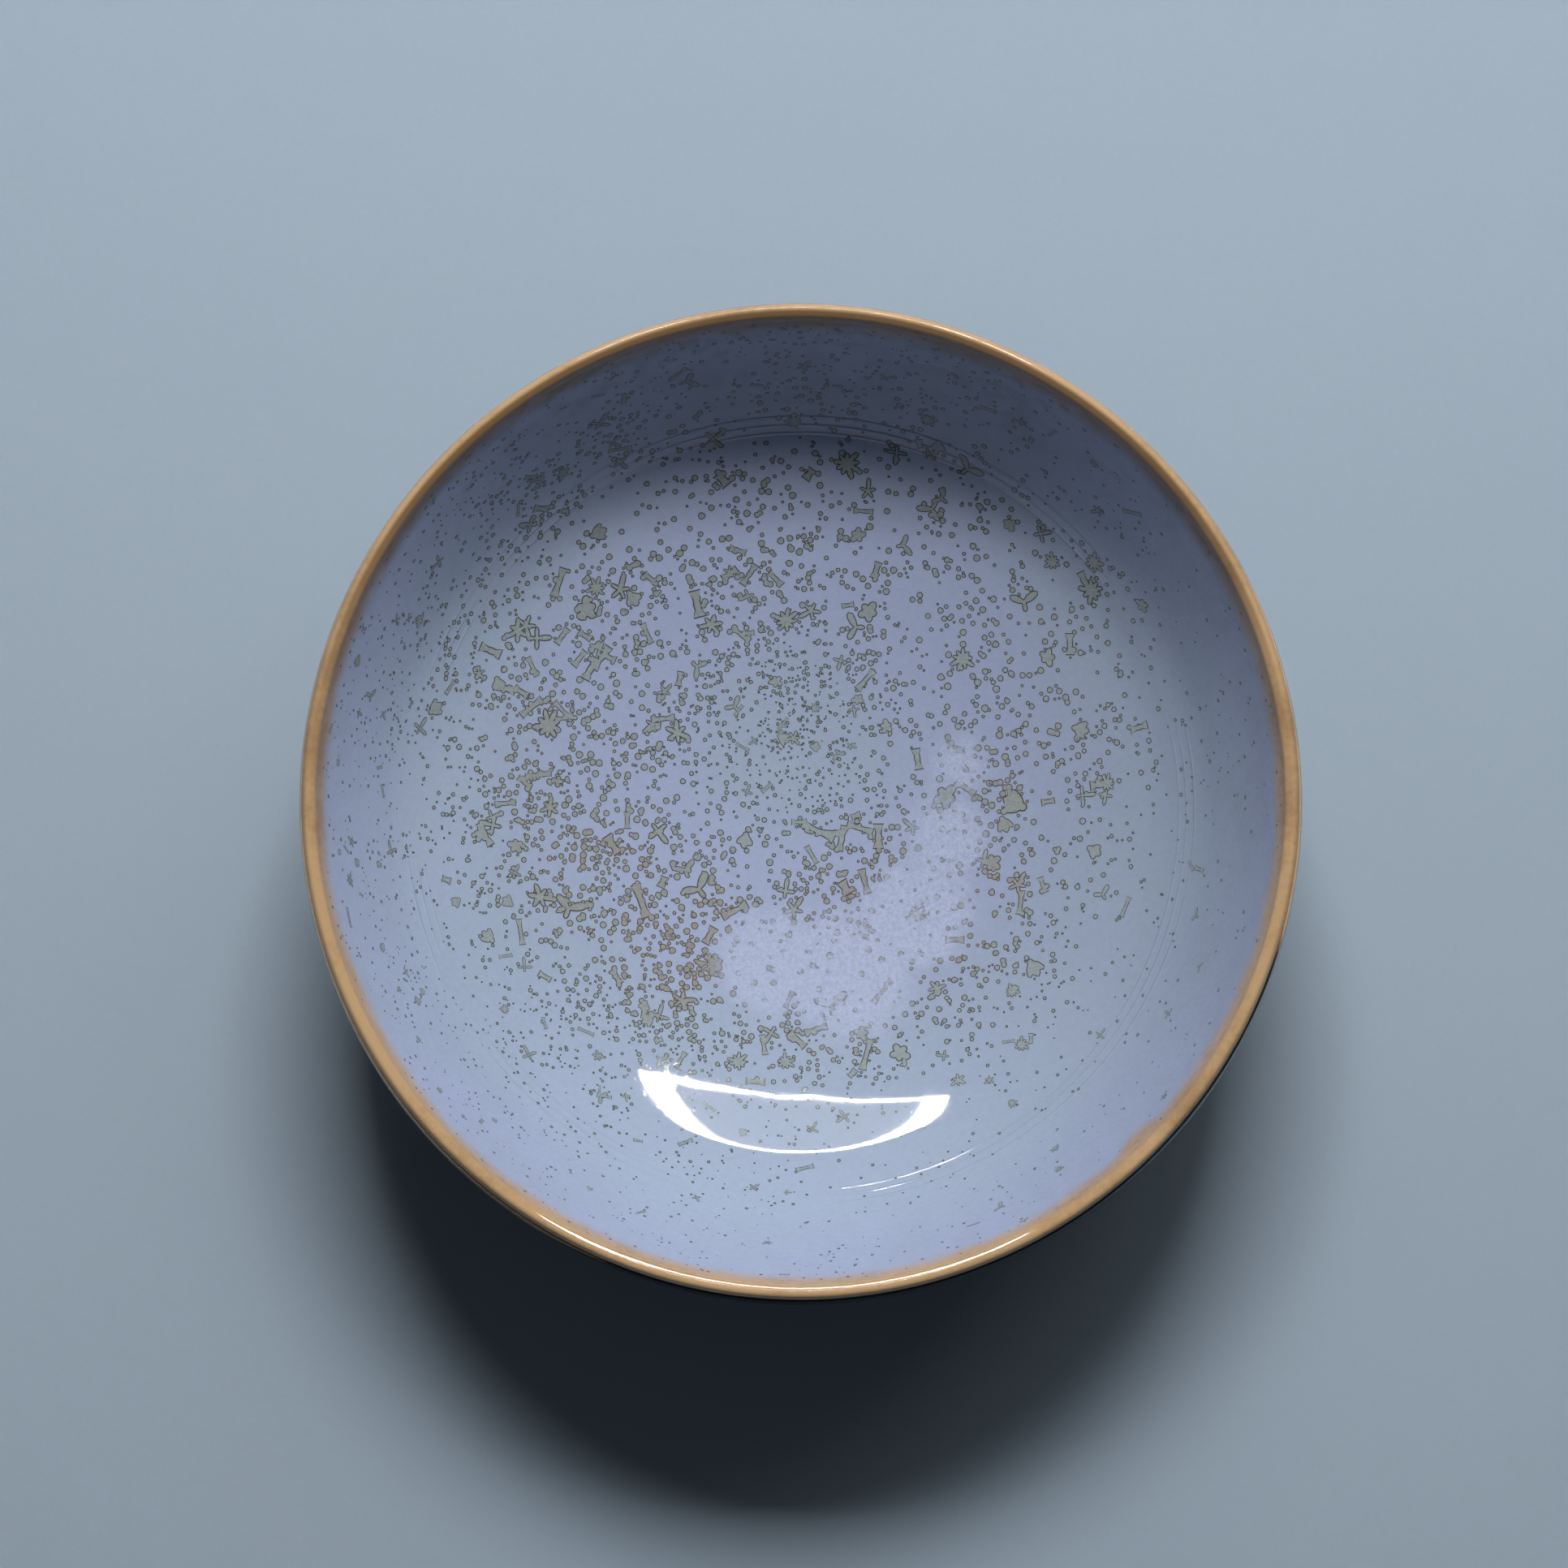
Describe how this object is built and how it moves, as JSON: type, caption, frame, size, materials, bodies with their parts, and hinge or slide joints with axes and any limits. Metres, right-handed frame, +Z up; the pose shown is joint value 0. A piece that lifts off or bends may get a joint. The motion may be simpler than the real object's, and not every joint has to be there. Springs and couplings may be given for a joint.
{
  "type": "stoneware bowl",
  "caption": "Round stoneware bowl with a lavender-blue crystalline glaze inside, a honey-brown rim, a dark teal glaze outside and a foot ring.",
  "frame": {"origin": "centre of the foot ring's standing face, on the bowl's axis", "axes": "+Z up along the bowl's axis; X and Y lie on the table and are alike"},
  "size_m": [0.1716, 0.1716, 0.06],
  "materials": {
    "clay": "bare fired stoneware",
    "inside_glaze": "gloss lavender-blue crystalline glaze",
    "rim_glaze": "gloss honey-brown glaze",
    "outside_glaze": "gloss dark teal glaze"
  },
  "bodies": {
    "root": {"stoneware_body": "clay", "inner_glaze": "inside_glaze", "rim_glaze": "rim_glaze", "outer_glaze": "outside_glaze", "well_glaze": "outside_glaze"}
  },
  "joints": []
}
